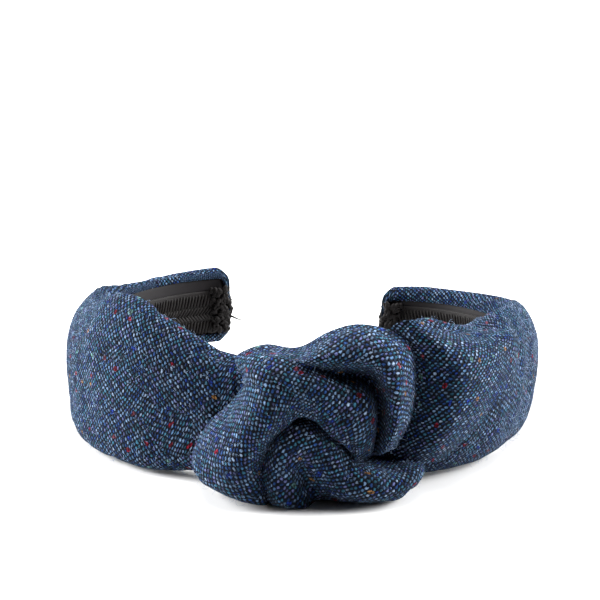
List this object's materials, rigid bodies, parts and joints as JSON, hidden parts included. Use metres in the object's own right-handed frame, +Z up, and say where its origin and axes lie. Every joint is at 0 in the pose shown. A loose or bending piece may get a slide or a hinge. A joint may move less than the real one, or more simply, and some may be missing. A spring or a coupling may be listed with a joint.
{
  "type": "knotted headband",
  "caption": "Padded fabric headband with a large tied knot at the crown, on a springy C-shaped band with a black strip and braid trim inside.",
  "frame": {"origin": "middle of the bounding box in X and Y, on the surface the headband rests on", "axes": "+X to the right as seen with the knot in front, +Y from the knot back to the two ends, +Z up, across the width of the band as it lies on its edge"},
  "size_m": [0.1452, 0.1488, 0.0468],
  "materials": {
    "tweed": "woven tweed, flecked",
    "plastic_band": "moulded",
    "wadding": "soft wadding",
    "lining": "smooth matt strip",
    "braid": "looped braid",
    "thread": "sewing thread"
  },
  "bodies": {
    "crown": {"core_crown": "plastic_band", "pad_crown": "wadding", "cover_crown": "tweed", "knot_arch": "tweed", "knot_inner": "tweed", "knot_lobe": "tweed", "knot_fold": "tweed", "knot_gather": "tweed", "lining_crown": "lining", "trim_crown": "braid"},
    "left_arm": {"core_left": "plastic_band", "pad_left": "wadding", "cover_left": "tweed", "lining_left": "lining", "trim_left": "braid", "thread_tail": "thread"},
    "right_arm": {"core_right": "plastic_band", "pad_right": "wadding", "cover_right": "tweed", "lining_right": "lining", "trim_right": "braid"}
  },
  "joints": [
    {"name": "left_flex", "type": "hinge", "parent": "crown", "child": "left_arm", "pos_m": [-0.03892, -0.03143, 0.0219], "axis": [0, 0.0854, 0.9963], "range_deg": [-4, 14], "stiffness_Nm_per_rad": 0.6},
    {"name": "right_flex", "type": "hinge", "parent": "crown", "child": "right_arm", "pos_m": [0.04418, -0.02766, 0.02157], "axis": [0, -0.0854, -0.9963], "range_deg": [-4, 14], "stiffness_Nm_per_rad": 0.6}
  ]
}
